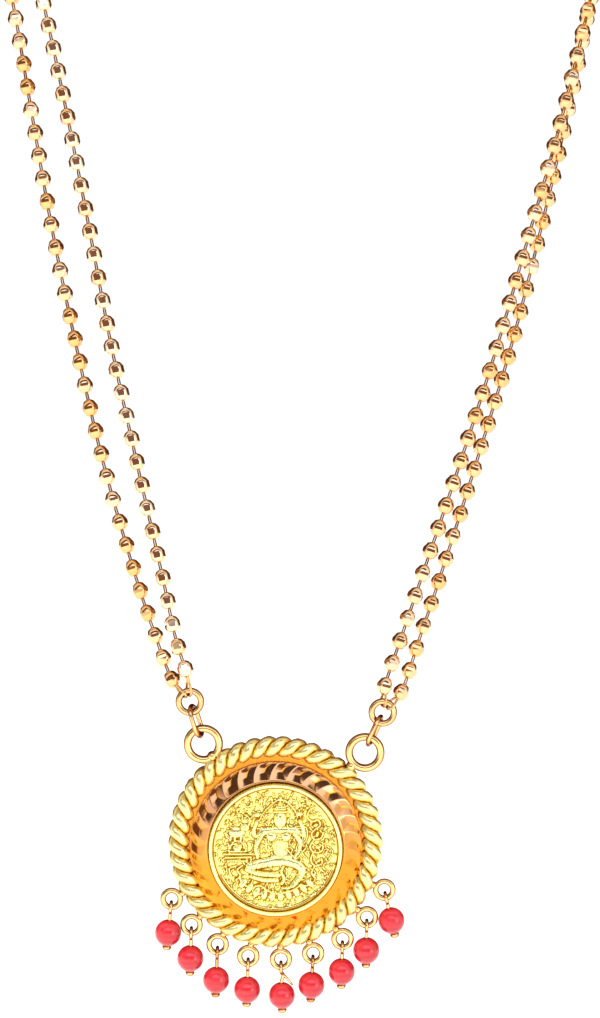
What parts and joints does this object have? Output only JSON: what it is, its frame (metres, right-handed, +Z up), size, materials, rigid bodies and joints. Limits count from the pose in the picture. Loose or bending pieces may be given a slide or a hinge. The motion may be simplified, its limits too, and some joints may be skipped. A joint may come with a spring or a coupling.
{
  "type": "mangalsutra necklace",
  "caption": "Double ball-chain necklace with a round rope-bordered medallion, a coin relief and a fringe of coral beads on pins.",
  "frame": {"origin": "middle of the clasp, where the necklace rests on the nape of the neck", "axes": "+X to the viewer's right as the medallion faces the viewer, -Y from the nape towards the viewer, +Z up"},
  "size_m": [0.1065, 0.1043, 0.2053],
  "materials": {
    "gold": "polished gold plate",
    "coin_gold": "struck bright gold plate",
    "ball_gold": "diamond-cut gold plate",
    "coral": "polished coral"
  },
  "bodies": {
    "chain": {"left_oval_link": "gold", "right_oval_link": "gold", "left_small_ring": "gold", "right_small_ring": "gold", "inner_beads": "ball_gold", "inner_wire": "gold", "outer_chain": "ball_gold", "clasp": "gold", "left_clasp_ring": "gold", "right_clasp_ring": "gold"},
    "pendant": {"frame": "gold", "coin": "coin_gold", "coral_bead_1": "coral", "coral_bead_2": "coral", "coral_bead_3": "coral", "coral_bead_4": "coral", "coral_bead_5": "coral", "coral_bead_6": "coral", "coral_bead_7": "coral", "coral_bead_8": "coral", "coral_bead_9": "coral", "head_pin_1": "gold", "head_pin_2": "gold", "head_pin_3": "gold", "head_pin_4": "gold", "head_pin_5": "gold", "head_pin_6": "gold", "head_pin_7": "gold", "head_pin_8": "gold", "head_pin_9": "gold"}
  },
  "joints": [
    {"name": "pendant_swing", "type": "hinge", "parent": "chain", "child": "pendant", "pos_m": [-0.0021, -0.1, -0.16298], "axis": [0.9986, 0, -0.0532], "range_deg": [-60, 60]}
  ]
}
